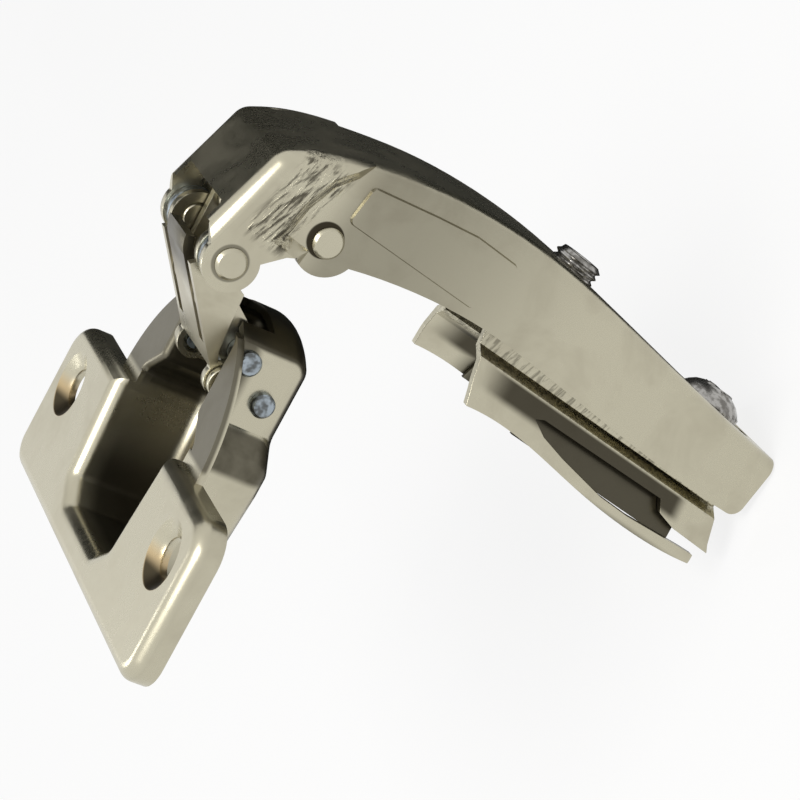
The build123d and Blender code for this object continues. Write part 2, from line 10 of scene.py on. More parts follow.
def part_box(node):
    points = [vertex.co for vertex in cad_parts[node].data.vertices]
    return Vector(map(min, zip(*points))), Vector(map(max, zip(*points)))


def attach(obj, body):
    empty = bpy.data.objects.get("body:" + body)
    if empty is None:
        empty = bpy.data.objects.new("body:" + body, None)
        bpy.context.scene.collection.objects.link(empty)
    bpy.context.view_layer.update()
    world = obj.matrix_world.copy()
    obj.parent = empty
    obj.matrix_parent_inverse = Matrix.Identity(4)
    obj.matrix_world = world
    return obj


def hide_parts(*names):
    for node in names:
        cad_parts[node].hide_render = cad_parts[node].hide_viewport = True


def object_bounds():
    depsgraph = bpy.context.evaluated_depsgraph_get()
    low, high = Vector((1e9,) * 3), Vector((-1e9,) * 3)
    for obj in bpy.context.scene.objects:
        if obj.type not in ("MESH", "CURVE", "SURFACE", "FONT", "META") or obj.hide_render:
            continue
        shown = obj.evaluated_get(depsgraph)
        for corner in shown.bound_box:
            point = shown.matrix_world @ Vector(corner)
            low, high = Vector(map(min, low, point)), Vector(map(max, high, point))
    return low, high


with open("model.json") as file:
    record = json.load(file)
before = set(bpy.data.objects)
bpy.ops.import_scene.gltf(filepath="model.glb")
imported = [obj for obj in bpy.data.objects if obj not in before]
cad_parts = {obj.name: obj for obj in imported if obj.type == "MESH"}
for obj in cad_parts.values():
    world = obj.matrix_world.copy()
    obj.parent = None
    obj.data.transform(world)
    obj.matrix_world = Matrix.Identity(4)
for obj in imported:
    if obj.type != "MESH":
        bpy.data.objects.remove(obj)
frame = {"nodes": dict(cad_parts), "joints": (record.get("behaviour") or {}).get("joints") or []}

bl_info = {
    "name": "Concealed cup hinge",
    "version": (1, 0, 0),
    "blender": (4, 5, 0),
    "location": "3D View > Sidebar > Cup hinge",
    "description": "Finishes, screws and studio for a concealed cup hinge",
    "category": "Object",
}

MM = 0.001
FULL_TURN = 2 * math.pi
FORWARD = Vector((1.0, 0.0, 0.0))
ACROSS = Vector((0.0, 1.0, 0.0))
UP = Vector((0.0, 0.0, 1.0))

# The hinge's own directions, from the frame
JOINTS = {joint["name"]: joint for joint in frame["joints"]}
FOLD_PIVOT = Vector(JOINTS["arm_fold"]["pos_m"])
ALONG_ARM = Vector(JOINTS["depth_slide"]["axis"])
OFF_ARM = Vector(JOINTS["side_screw_turn"]["axis"])
SIDE_SCREW_PLACE = Vector(JOINTS["side_screw_turn"]["pos_m"])
DEPTH_SCREW_PLACE = Vector(JOINTS["depth_screw_turn"]["pos_m"])
CAD_LOW, CAD_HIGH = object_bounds()
SCREW_HOLE = Vector((-6.1, 24.0, 3.3)) * MM  # one of the flange's two, the other mirrors it
REAR_PIN_LOW, REAR_PIN_HIGH = (Vector(corner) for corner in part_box("arm_rear_pin"))
REAR_PIN_PLACE = (REAR_PIN_LOW + REAR_PIN_HIGH) / 2

# Where the photograph was taken from, and its picture's right, up and back directions
CAMERA_PLACE = Vector((85.35, -299.854, 125.618)) * MM
CAMERA_RIGHT = Vector((0.474946, -0.300855, -0.82699))
CAMERA_UP = Vector((0.854933, 0.380507, 0.352567))
CAMERA_BACK = Vector((0.208604, -0.874472, 0.437931))
CAMERA_SENSOR = 36.0
CAMERA_LENS = 133.06

# Vertices this close become one, and edges sharper than this are rounded or kept sharp
WELD_REACH = 0.002 * MM
STAMPED_EDGE = math.radians(40)
TURNED_EDGE = math.radians(35)

STEPS_A_PITCH = 8  # rings of vertices in one turn of a thread


class StageSettings(bpy.types.PropertyGroup):
    """Colours and strengths of the studio."""

    floor_colour: FloatVectorProperty(
        name="Floor", description="Colour of the floor", subtype="COLOR", size=3,
        default=(0.9, 0.9, 0.9), min=0.0, max=1.0,
    )
    backdrop_colour: FloatVectorProperty(
        name="Backdrop", description="Colour behind the hinge", subtype="COLOR", size=3,
        default=(1.0, 1.0, 1.0), min=0.0, max=1.0,
    )
    fill_strength: FloatProperty(
        name="Fill", description="Strength of the light from all round", default=0.55, min=0.0,
    )
    key_power: FloatProperty(
        name="Key light", description="Power of the large soft light",
        default=1.3, min=0.0, unit="POWER",
    )
    rim_power: FloatProperty(
        name="Rim light", description="Power of the narrow light",
        default=0.25, min=0.0, unit="POWER",
    )


class FinishSettings(bpy.types.PropertyGroup):
    """Colours and gloss of the platings."""

    nickel: FloatVectorProperty(
        name="Nickel", description="Colour of the satin nickel", subtype="COLOR", size=3,
        default=(0.515, 0.485, 0.372), min=0.0, max=1.0,
    )
    nickel_shade: FloatVectorProperty(
        name="Nickel shade", description="Colour of the darker clouds in the nickel",
        subtype="COLOR", size=3, default=(0.37, 0.335, 0.25), min=0.0, max=1.0,
    )
    zinc: FloatVectorProperty(
        name="Zinc", description="Colour of the pins", subtype="COLOR", size=3,
        default=(0.36, 0.41, 0.45), min=0.0, max=1.0,
    )
    screw: FloatVectorProperty(
        name="Screw", description="Colour of the adjusting screws", subtype="COLOR", size=3,
        default=(0.40, 0.39, 0.37), min=0.0, max=1.0,
    )
    # Colour of the painted shade in the cup, round the arm's pins, on its flank, under the holder's
    # ridge, on the outer link's hood and in the drawn streaks' seams, and of the random dark mottling
    # on the pins and screws
    painted_shade_and_mottle: FloatVectorProperty(
        name="Soot", description="Colour in the hollows and seams", subtype="COLOR", size=3,
        default=(0.04, 0.034, 0.022), min=0.0, max=1.0,
    )
    straw: FloatVectorProperty(
        name="Straw", description="Golden tint in the screw dishes", subtype="COLOR", size=3,
        default=(0.50, 0.36, 0.18), min=0.0, max=1.0,
    )
    roughness: FloatProperty(
        name="Roughness", description="Roughness of the satin nickel",
        default=0.24, min=0.0, max=1.0,
    )


class DetailSettings(bpy.types.PropertyGroup):
    """Sizes of the small forms."""

    edge_round: FloatProperty(
        name="Edge", description="Rounding of the stamped edges",
        default=0.14 * MM, unit="LENGTH",
    )
    thread_pitch: FloatProperty(
        name="Pitch", description="Pitch of the screws' threads",
        default=0.8 * MM, unit="LENGTH",
    )
    thread_depth: FloatProperty(
        name="Thread depth", description="Depth of the threads", default=0.4 * MM, unit="LENGTH",
    )
    side_screw_radius: FloatProperty(
        name="Side screw", description="Outer radius of the side screw",
        default=3.0 * MM, unit="LENGTH",
    )
    depth_screw_radius: FloatProperty(
        name="Depth screw", description="Outer radius of the depth screw",
        default=2.5 * MM, unit="LENGTH",
    )
    rim_notches: IntProperty(
        name="Notches", description="Notches round the depth screw's head", default=28, min=6,
    )


class Value:
    """A socket's value, on which arithmetic adds nodes to its tree."""

    def __init__(self, nodes, socket):
        self.nodes = nodes
        self.socket = socket

    def combine(self, operation, *values):
        return self.nodes.node("ShaderNodeMath", {"operation": operation}, dict(enumerate(values)))

    def __add__(self, other):
        return self.combine("ADD", self, other)

    __radd__ = __add__

    def __sub__(self, other):
        return self.combine("SUBTRACT", self, other)

    def __rsub__(self, other):
        return self.combine("SUBTRACT", other, self)

    def __mul__(self, other):
        return self.combine("MULTIPLY", self, other)

    __rmul__ = __mul__

    def __abs__(self):
        return self.combine("ABSOLUTE", self)

    def most(self, other):
        """The larger of two values."""
        return self.combine("MAXIMUM", self, other)

    def least(self, other):
        """The smaller of two values."""
        return self.combine("MINIMUM", self, other)


class Nodes:
    """The shader nodes of a material or of the world."""

    def __init__(self, owner):
        owner.use_nodes = True
        self.tree = owner.node_tree

    def node(self, kind, settings=None, inputs=None, output=0):
        """Any node, its settings first and then its sockets' values or links."""
        made = self.tree.nodes.new(kind)
        for name, value in (settings or {}).items():
            setattr(made, name, value)
        for key, value in (inputs or {}).items():
            self.put(made.inputs[key], value)
        return Value(self, made.outputs[output])

    def put(self, socket, value):
        """A value or a link on a socket."""
        if isinstance(value, Value):
            self.tree.links.new(value.socket, socket)
        elif isinstance(value, (tuple, list, Vector)) and socket.type == "RGBA":
            socket.default_value = (*value, 1.0)[:4]
        else:
            socket.default_value = value

    def seen(self):
        """1 for what the camera sees straight, off metal or through glass, and otherwise 0."""
        camera, glossy, through = (
            self.node("ShaderNodeLightPath", output=f"Is {kind} Ray")
            for kind in ("Camera", "Glossy", "Transmission")
        )
        return (camera + glossy + through).least(1.0)


class Paint(Nodes):
    """A material's nodes."""

    def __init__(self, name):
        self.material = bpy.data.materials.new(name)
        super().__init__(self.material)
        self.shader = self.tree.nodes["Principled BSDF"]

    def set(self, **sockets):
        """The shader's sockets, by name with _ for a space."""
        for name, value in sockets.items():
            self.put(self.shader.inputs[name.replace("_", " ")], value)
        return self.material

    def plated(self, colour, rough, height):
        """The shader as a plating, with a relief in millimetres."""
        return self.set(
            Metallic=1.0, Base_Color=colour, Roughness=rough, Normal=self.relief(height)
        )

    def place(self):
        """Position on the hinge in millimetres."""
        coordinates = self.node("ShaderNodeTexCoord", output="Object")
        return self.node(
            "ShaderNodeVectorMath", {"operation": "SCALE"}, {0: coordinates, "Scale": 1 / MM}
        )

    def dot(self, vector, direction):
        """How far a place lies along a direction."""
        return self.node(
            "ShaderNodeVectorMath", {"operation": "DOT_PRODUCT"},
            {0: vector, 1: tuple(direction)}, output="Value",
        )

    def noise(self, where, scale, detail=2.0, roughness=0.5, distortion=0.0):
        """Noise from 0 to 1, its scale per millimetre."""
        return self.node(
            "ShaderNodeTexNoise", {},
            {
                "Vector": where, "Scale": scale, "Detail": detail,
                "Roughness": roughness, "Distortion": distortion,
            },
        )

    def between(self, value, low, high):
        """0 below low, 1 above high, and smooth in between."""
        return self.node(
            "ShaderNodeMapRange", {"interpolation_type": "SMOOTHSTEP"},
            {"Value": value, "From Min": low, "From Max": high},
        )

    def mix(self, share, first, second):
        """Mix of two colours."""
        return self.node(
            "ShaderNodeMix", {"data_type": "RGBA"},
            {0: share, 6: first, 7: second}, output=2,
        )

    def relief(self, height):
        """Normal of a relief whose height is in millimetres."""
        return self.node("ShaderNodeBump", {}, {"Height": height, "Distance": MM, "Strength": 1.0})


def stretched(paint, where, direction, share):
    """Positions squeezed along one direction, which draws a noise out along it."""
    along = paint.dot(where, direction) * (share - 1.0)
    shift = paint.node(
        "ShaderNodeVectorMath", {"operation": "SCALE"}, {0: tuple(direction), "Scale": along}
    )
    return paint.node("ShaderNodeVectorMath", {"operation": "ADD"}, {0: where, 1: shift})


def nickel(name, beaten=None, painted_shade_and_mottle=None, straw=None, shade=0.35, dent=0.1):
    """Satin nickel with clouds and a faint roll of the sheet.

    beaten and straw, and the mask for painted shade, are functions of the paint and the
    position that say, from 0 to 1, where the sheet is drawn into streaks, where it is
    golden and where painted shade falls. The streaks dent the sheet, and their dark seams
    are painted shade. shade is the clouds' strength, and dent the streaks' depth in millimetres."""
    finish = bpy.context.scene.hinge_finish
    paint = Paint(name)
    where = paint.place()
    rolled = paint.noise(where, scale=0.11, detail=4.0, roughness=0.6, distortion=0.4)
    clouds = paint.between(rolled, low=0.42, high=0.68)
    fine = paint.noise(where, scale=1.6, detail=3.0)
    colour = paint.mix(clouds * shade, tuple(finish.nickel), tuple(finish.nickel_shade))
    rough = finish.roughness + clouds * 0.08 + fine * 0.06
    height = paint.noise(where, scale=0.4, detail=1.0) * 0.02 + fine * 0.0015
    if straw is not None:
        colour = paint.mix(straw(paint, where), colour, tuple(finish.straw))
    if beaten is not None:
        share = beaten(paint, where)
        drawn = stretched(paint, where, (OFF_ARM + ALONG_ARM * 0.2).normalized(), 0.16)
        streaks = paint.noise(drawn, scale=1.9, detail=4.0, roughness=0.65, distortion=0.3)
        height = height + share * streaks * dent
        # The streaks' seams are darkened with painted shade; their dents are real relief
        painted_streak_shade = paint.between(streaks, low=0.46, high=0.62)
        colour = paint.mix(share * painted_streak_shade * 0.88, colour, tuple(finish.painted_shade_and_mottle))
        rough = rough - share * 0.08
    # Painted shade where the mask says so
    if painted_shade_and_mottle is not None:
        dark = painted_shade_and_mottle(paint, where)
        colour = paint.mix(dark, colour, tuple(finish.painted_shade_and_mottle))
        rough = rough + dark * 0.1
    return paint.plated(colour, rough, height)


def zinc(name):
    """Zinc on turned steel, bluer than the nickel, worn and finely scratched."""
    finish = bpy.context.scene.hinge_finish
    paint = Paint(name)
    where = paint.place()
    clouds = paint.noise(where, scale=0.9, detail=3.0)
    scratches = paint.noise(stretched(paint, where, FORWARD, 0.1), scale=5.0)
    worn = paint.between(paint.noise(where, scale=0.75), low=0.44, high=0.6)
    colour = paint.mix(worn * 0.75, tuple(finish.zinc), tuple(finish.painted_shade_and_mottle))
    return paint.plated(colour, 0.24 + clouds * 0.16, scratches * 0.012 + clouds * 0.05)


def screw_steel(name):
    """Bright plated screw with dark clouds."""
    finish = bpy.context.scene.hinge_finish
    paint = Paint(name)
    where = paint.place()
    clouds = paint.between(paint.noise(where, scale=1.1, detail=3.0), low=0.4, high=0.65)
    colour = paint.mix(clouds * 0.6, tuple(finish.screw), tuple(finish.painted_shade_and_mottle))
    return paint.plated(colour, 0.2 + clouds * 0.15, paint.noise(where, scale=3.0) * 0.01)


def on_arm(paint, where):
    """Distances along the arm and off it, in millimetres from the front pivot."""
    pivot = FOLD_PIVOT / MM
    along = paint.dot(where, ALONG_ARM) - pivot.dot(ALONG_ARM)
    off = paint.dot(where, OFF_ARM) - pivot.dot(OFF_ARM)
    return along, off


def round_edges(name, width):
    """Soft edges on a solid, as stamping and plating leave them."""
    solid = frame["nodes"][name]
    weld = solid.modifiers.new("Weld", "WELD")
    weld.merge_threshold = WELD_REACH
    bevel = solid.modifiers.new("Edges", "BEVEL")
    bevel.width = width
    bevel.segments = 2
    bevel.limit_method = "ANGLE"
    bevel.angle_limit = STAMPED_EDGE
    bevel.harden_normals = True
    return solid


def dress(names, material, width):
    """Puts a material and soft edges on solids of the frame."""
    for name in names:
        solid = round_edges(name, width)
        solid.data.materials.clear()
        solid.data.materials.append(material)


# Each mask below is 0 to 1 over a surface. Its places are in millimetres, along the arm
# and off it from the front pivot or forward, across and up on the hinge, and a place
# across is squared, so that both sides of the hinge are treated alike.


def square_across(paint, where):
    """Squared distance from the hinge's middle plane."""
    across = paint.dot(where, ACROSS)
    return across * across


def joggle_band(paint, where):
    """Drawn slope where the wide nose steps in to the narrow arm, its streaks dented and darkened with
    painted shade.
    """
    along, off = on_arm(paint, where)
    ahead = paint.between(along - off * 0.12, -2.6, -1.2)
    behind = paint.between(along - off * 0.2, 4.0, 2.6)
    flank = paint.between(off, 3.0, 4.6) * paint.between(off, 16.2, 14.2)
    outside = paint.between(square_across(paint, where), 52.0, 58.0)
    return ahead * behind * flank * outside


def pin_shadow(paint, where):
    """Painted shadow in rings round the arm's two pins, thicker on top, and painted shade on its
    flank.
    """
    forward = paint.dot(where, FORWARD)
    height = paint.dot(where, UP)
    lean_x, lean_z = 0.31, 0.95
    rings = []
    for pin, shift, strength in ((FOLD_PIVOT, 0.12, 0.6), (REAR_PIN_PLACE, 0.5, 0.95)):
        from_x = forward - (pin.x / MM + lean_x * shift)
        from_z = height - (pin.z / MM + lean_z * shift)
        away = from_x * from_x + from_z * from_z
        rings.append(paint.between(away, 5.2, 4.2) * strength)
    along = on_arm(paint, where)[0]
    flank = paint.between(along, 5.0, 10.0) * paint.between(along, 44.0, 14.0) * 0.42
    outside = paint.between(square_across(paint, where), 50.0, 60.0)
    return (rings[0] + rings[1] + flank) * outside


def holder_strip(paint, where):
    """Drawn strip between the arm's edge and the ridge of the holder, its streaks dented and darkened
    with painted shade.
    """
    along, off = on_arm(paint, where)
    return paint.between(off, 6.9, 7.4) * paint.between(along, 30.0, 32.0) * 0.6


def under_ridge(paint, where):
    """Painted shade in a band below the ridge of the holder and on its inside."""
    along, off = on_arm(paint, where)
    band = paint.between(off, 3.9, 5.0) * paint.between(off, 7.2, 6.8)
    band = band * paint.between(along, 32.5, 38.0) * paint.between(along, 66.5, 64.5) * 0.93
    # The skirts lean outwards, so what is closer to the middle is their inner side
    skirt_lean = 6.5
    inner = paint.between(square_across(paint, where) + off * skirt_lean, 112.0, 104.0)
    inner = inner * paint.between(off, 7.0, 6.2) * paint.between(along, 38.0, 42.0)
    return band.most(inner * 0.9)


def cup_painted_shade(paint, where):
    """Painted shade in the cup: its dark hollow, dark ledge, dark inner bend of the rim and the dark
    patch on each wall's jog.
    """
    height = paint.dot(where, UP)
    forward = paint.dot(where, FORWARD)
    wide = square_across(paint, where)
    hollow = paint.between(height, 2.5, -0.8) * paint.between(wide, 132.0, 104.0) * 0.89
    hollow = hollow * (1 - paint.between(forward, 4.0, 5.6) * paint.between(wide, 70.0, 76.0))
    ledge = paint.between(forward, 1.5, 2.3) * paint.between(height, 2.0, 1.2)
    ledge = ledge * paint.between(height, 0.1, 0.5) * 0.75
    patch = paint.between(forward, 0.6, 1.6) * paint.between(forward, 6.2, 5.4)
    patch = patch * paint.between(height, 0.0, -0.8) * paint.between(wide, 84.0, 90.0) * 0.85
    bend = paint.between(forward, 0.0, 2.0) * paint.between(wide, 150.0, 132.0)
    bend = bend * paint.between(height, -3.0, -1.5) * paint.between(height, 0.5, 0.1) * 0.8
    cloudy = paint.noise(where, scale=0.5) * 0.3 + 0.8
    return hollow.most(ledge + bend).most(patch * cloudy)


def dish_place(paint, where):
    """Squared distance from the nearer screw hole's axis, and how far forward of it."""
    forward = paint.dot(where, FORWARD) - SCREW_HOLE.x / MM
    side = abs(paint.dot(where, ACROSS)) - SCREW_HOLE.y / MM
    return forward * forward + side * side, forward


def dish_straw(paint, where):
    """Golden tint in the lower half of each screw dish."""
    away, forward = dish_place(paint, where)
    return paint.between(away, 17.5, 16.0) * paint.between(forward, 0.6, -1.6) * 0.75


def cup_dark(paint, where):
    """The cup's painted shade and painted shade at the foot of each screw dish."""
    away, forward = dish_place(paint, where)
    foot = paint.between(away, 17.0, 15.5) * paint.between(forward, -1.3, -2.6) * 0.92
    return cup_painted_shade(paint, where).most(foot)


def hood_painted_shade(paint, where):
    """Painted shade on the outer link's hood between the arm's front lobes."""
    height = paint.dot(where, UP)
    middle = paint.between(square_across(paint, where), 18.0, 14.0)
    return paint.between(height, 5.6, 8.6) * middle * 0.85


def mesh_piece(name, mesh, body, stands_for, material):
    """A new piece from a bmesh, on its body and in place of its solid, if it has one."""
    bmesh.ops.recalc_face_normals(mesh, faces=mesh.faces)
    smooth(mesh, TURNED_EDGE)
    data = bpy.data.meshes.new(name)
    mesh.to_mesh(data)
    mesh.free()
    piece = bpy.data.objects.new(name, data)
    bpy.context.scene.collection.objects.link(piece)
    data.materials.append(material)
    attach(piece, body)
    if stands_for is not None:
        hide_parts(stands_for)
    return piece


def screw_axes(place):
    """Matrix from a screw's own frame, its axis up, to the hinge's frame."""
    side = ALONG_ARM.cross(OFF_ARM).normalized()
    rows = Matrix((ALONG_ARM.normalized(), side, OFF_ARM.normalized())).transposed()
    return Matrix.Translation(place) @ rows.to_4x4()


def reach_off_arm(node, place):
    """Lowest and highest place of a solid along a screw's axis."""
    heights = [(vertex.co - place).dot(OFF_ARM) for vertex in frame["nodes"][node].data.vertices]
    return min(heights), max(heights)


def thread_share(turn, height, pitch):
    """How deep the thread is cut at an angle and a height, from 0 to 1."""
    phase = (height / pitch - turn) % 1.0
    flank = abs(phase - 0.5) * 2.0
    return min(1.0, max(0.0, 1.35 * flank - 0.15))


def ring_of(mesh, steps, height, radius_at):
    """One ring of vertices, whose radius depends on the turn from 0 to 1."""
    ring = []
    for step in range(steps):
        turn = step / steps
        angle = turn * FULL_TURN
        radius = radius_at(turn)
        ring.append(mesh.verts.new((radius * math.cos(angle), radius * math.sin(angle), height)))
    return ring


def bridge(mesh, rings):
    """Quads between each ring and the next."""
    for lower, upper in zip(rings, rings[1:]):
        count = len(lower)
        for step in range(count):
            ahead = (step + 1) % count
            mesh.faces.new((lower[step], lower[ahead], upper[ahead], upper[step]))


def close_to_point(mesh, ring, height):
    """Triangles from a ring to a point on the axis."""
    point = mesh.verts.new((0.0, 0.0, height))
    for step in range(len(ring)):
        mesh.faces.new((ring[step], ring[(step + 1) % len(ring)], point))


def threaded_shank(mesh, steps, low, high, radius_at, pitch):
    """Threaded length from its flat end up; returns its last ring."""
    count = int((high - low) / (pitch / STEPS_A_PITCH))
    levels = [low + (high - low) * index / count for index in range(count + 1)]
    rings = [ring_of(mesh, steps, level, lambda turn, z=level: radius_at(turn, z)) for level in levels]
    bridge(mesh, rings)
    mesh.faces.new(list(reversed(rings[0])))
    return rings[-1]


def hexagon(turn, across):
    """Radius of a hexagon at an angle."""
    step = 1.0 / 6
    local = (turn % step - step / 2) * FULL_TURN
    return across / math.cos(local)


def smooth(mesh, limit):
    """Smooth shading with edges kept sharp past an angle."""
    for face in mesh.faces:
        face.smooth = True
    for edge in mesh.edges:
        if len(edge.link_faces) == 2 and edge.calc_face_angle() > limit:
            edge.smooth = False


def side_screw_mesh(low, high, details):
    """Threaded stud with a chamfered end and a hexagon socket."""
    mesh = bmesh.new()
    steps = 48
    outer = details.side_screw_radius
    pitch = details.thread_pitch
    cut = details.thread_depth
    chamfer = 0.45 * MM
    tip_length, tip_taper = 1.2 * MM, 0.9 * MM
    socket, socket_chamfer = 1.3 * MM, 0.12 * MM
    socket_depth, drill_depth = 2.4 * MM, 3.0 * MM

    def thread(turn, height):
        lead = min(1.0, (height - low) / tip_length)
        return outer - cut * thread_share(turn, height, pitch) - tip_taper * (1 - lead) ** 2

    rings = [
        threaded_shank(mesh, steps, low, high - chamfer, thread, pitch),
        ring_of(mesh, steps, high, lambda turn: outer - cut - chamfer * 0.4),
        ring_of(mesh, steps, high, lambda turn: hexagon(turn, socket) + socket_chamfer),
        ring_of(mesh, steps, high - socket_chamfer, lambda turn: hexagon(turn, socket)),
        ring_of(mesh, steps, high - socket_depth, lambda turn: hexagon(turn, socket)),
    ]
    bridge(mesh, rings)
    close_to_point(mesh, rings[-1], high - drill_depth)
    return mesh


def cross_radius(turn, length, width):
    """Radius of a cross-shaped recess with rounded inner corners at an angle."""
    angle = (turn % 0.25) * FULL_TURN
    lean = min(angle, math.pi / 2 - angle)
    arm = min(length / math.cos(lean), width / max(math.sin(lean), 1e-6))
    inner = width * 1.5
    return max(arm, inner)


def depth_screw_mesh(low, high, details):
    """Pan head with a notched rim and a cross recess, on a threaded shank."""
    mesh = bmesh.new()
    steps = 112
    head = 4.2 * MM
    thick = 2.9 * MM
    seat = high - thick
    pitch = details.thread_pitch
    cut = details.thread_depth
    shank = details.depth_screw_radius
    tip_length, tip_taper = 1.0 * MM, 0.7 * MM
    notch_depth = 0.16 * MM
    recess_length, recess_width = 2.0 * MM, 0.5 * MM
    recess_mouth, recess_floor = 2.72 * MM, 1.0 * MM

    def thread(turn, height):
        lead = min(1.0, (height - low) / tip_length)
        return shank - cut * thread_share(turn, height, pitch) - tip_taper * (1 - lead) ** 2

    def notched(radius, turn):
        wave = max(0.0, math.cos(turn * details.rim_notches * FULL_TURN))
        return radius - notch_depth * wave ** 2

    def recess(turn, length, width):
        cross = cross_radius(turn, recess_length * length, recess_width * width)
        return min(cross, head * 0.5)

    rings = [threaded_shank(mesh, steps, low, seat, thread, pitch)]
    # Height, radius and whether the rim's notches cut it
    profile = [
        (seat, head - 0.25 * MM, False),
        (seat + 0.15 * MM, head, True),
        (seat + 0.95 * MM, head, True),
        (seat + 1.15 * MM, head - 0.22 * MM, False),
        (seat + 1.5 * MM, head - 0.5 * MM, False),
        (seat + 2.1 * MM, head * 0.72, False),
        (seat + 2.5 * MM, head * 0.52, False),
    ]
    for height, radius, is_notched in profile:
        if is_notched:
            rings.append(ring_of(mesh, steps, height, lambda turn: notched(radius, turn)))
        else:
            rings.append(ring_of(mesh, steps, height, lambda turn: radius))
    # Depth of the recess and its shares of the mouth's length and width
    for depth, length, width in [(0.0, 1.0, 1.0), (0.15 * MM, 0.93, 0.8), (1.4 * MM, 0.62, 0.6)]:
        height = seat + recess_mouth - depth
        rings.append(ring_of(mesh, steps, height, lambda turn: recess(turn, length, width)))
    bridge(mesh, rings)
    close_to_point(mesh, rings[-1], seat + recess_floor)
    return mesh


def arm_place(along, off, across):
    """Place on the hinge from distances along the arm, off it and across it."""
    return FOLD_PIVOT + ALONG_ARM * along * MM + OFF_ARM * off * MM + ACROSS * across * MM


def inner_leaf_mesh(side):
    """Leaf of the holder that closes the skirt's window from behind."""
    mesh = bmesh.new()
    # Half width and place off the arm, in millimetres, from the bend to the free edge
    outside = [(7.1, 6.8), (7.75, 5.2), (8.45, 3.6), (8.85, 2.3), (8.95, 1.9)]
    sheet = 0.5
    section = outside + [(half - sheet, off) for half, off in reversed(outside)]
    rings = [
        [mesh.verts.new(arm_place(along, off, side * half)) for half, off in section]
        for along in (41.0, 44.0, 50.0, 56.0, 62.0, 66.5)
    ]
    bridge(mesh, rings)
    mesh.faces.new(rings[0])
    mesh.faces.new(list(reversed(rings[-1])))
    return mesh


class HINGE_OT_cup(bpy.types.Operator):
    """Finishes the cup and the two pins pressed through it"""

    bl_idname = "hinge.cup"
    bl_label = "Cup and its pins"

    def execute(self, context):
        details = context.scene.hinge_details
        material = nickel("nickel_of_cup", painted_shade_and_mottle=cup_dark, straw=dish_straw, shade=0.3)
        dress(["hinge_cup"], material, details.edge_round)
        pins = ["scissor_pivot_pin", "control_pivot_pin"]
        dress(pins, zinc("zinc_of_cup_pins"), details.edge_round)
        return {"FINISHED"}


class HINGE_OT_links(bpy.types.Operator):
    """Finishes the scissor's links, their pins and washers"""

    bl_idname = "hinge.links"
    bl_label = "Links"

    def execute(self, context):
        details = context.scene.hinge_details
        width = details.edge_round
        side_links = ["cup_side_links", "arm_side_links"]
        dress(["outer_link"], nickel("nickel_of_outer_link", painted_shade_and_mottle=hood_painted_shade, shade=0.5), width)
        dress(["inner_link"], nickel("nickel_of_inner_link", shade=0.6), width)
        dress(side_links, nickel("nickel_of_side_links", shade=0.6), width)
        small = [
            "control_link_rivets", "arm_link_pin", "scissor_centre_pin",
            "front_spacer_washers", "rear_spacer_tubes",
        ]
        dress(small, zinc("zinc_of_small_pins"), width)
        return {"FINISHED"}


class HINGE_OT_arm(bpy.types.Operator):
    """Finishes the folded arm and the pins riveted in it"""

    bl_idname = "hinge.arm"
    bl_label = "Arm and its pins"

    def execute(self, context):
        details = context.scene.hinge_details
        material = nickel("nickel_of_arm", beaten=joggle_band, painted_shade_and_mottle=pin_shadow, dent=0.3)
        dress(["hinge_arm"], material, details.edge_round)
        rivets = ["arm_front_rivets", "arm_rear_pin"]
        dress(rivets, nickel("nickel_of_rivets", shade=0.2), details.edge_round)
        return {"FINISHED"}


class HINGE_OT_holder(bpy.types.Operator):
    """Finishes the sliding holder and its nut"""

    bl_idname = "hinge.holder"
    bl_label = "Holder and its nut"

    def execute(self, context):
        details = context.scene.hinge_details
        material = nickel("nickel_of_holder", beaten=holder_strip, painted_shade_and_mottle=under_ridge, dent=0.08)
        dress(["holder_slide_plate"], material, details.edge_round)
        dress(["depth_clamp_nut"], zinc("zinc_of_nut"), details.edge_round)
        for name, side in (("inner_leaf_near", -1), ("inner_leaf_far", 1)):
            mesh_piece(name, inner_leaf_mesh(side), "holder", None, material)
        return {"FINISHED"}


class HINGE_OT_screws(bpy.types.Operator):
    """Cuts the threads, the socket and the cross recess of the adjusting screws"""

    bl_idname = "hinge.screws"
    bl_label = "Adjusting screws"

    def execute(self, context):
        details = context.scene.hinge_details
        material = screw_steel("steel_of_screws")
        screws = [
            (
                "side_adjusting_screw", "side_screw", "threaded_side_screw",
                SIDE_SCREW_PLACE, side_screw_mesh,
            ),
            (
                "depth_screw", "depth_screw", "threaded_depth_screw",
                DEPTH_SCREW_PLACE, depth_screw_mesh,
            ),
        ]
        for node, body, name, place, maker in screws:
            low, high = reach_off_arm(node, place)
            mesh = maker(low, high, details)
            mesh.transform(screw_axes(place))
            mesh_piece(name, mesh, body, node, material)
        return {"FINISHED"}


def area_light(name, place, target, size, power, colour=(1.0, 1.0, 1.0)):
    """Soft square light that points at a place."""
    data = bpy.data.lights.new(name, "AREA")
    data.shape = "SQUARE"
    data.size = size
    data.energy = power
    data.color = colour
    light = bpy.data.objects.new(name, data)
    light.location = place
    light.rotation_mode = "QUATERNION"
    light.rotation_quaternion = (target - place).to_track_quat("-Z", "Y")
    bpy.context.scene.collection.objects.link(light)


def plate(name, corners, material):
    """Flat stage piece from its corners."""
    data = bpy.data.meshes.new(name)
    data.from_pydata([tuple(corner) for corner in corners], [], [tuple(range(len(corners)))])
    piece = bpy.data.objects.new(name, data)
    data.materials.append(material)
    bpy.context.scene.collection.objects.link(piece)
    return piece


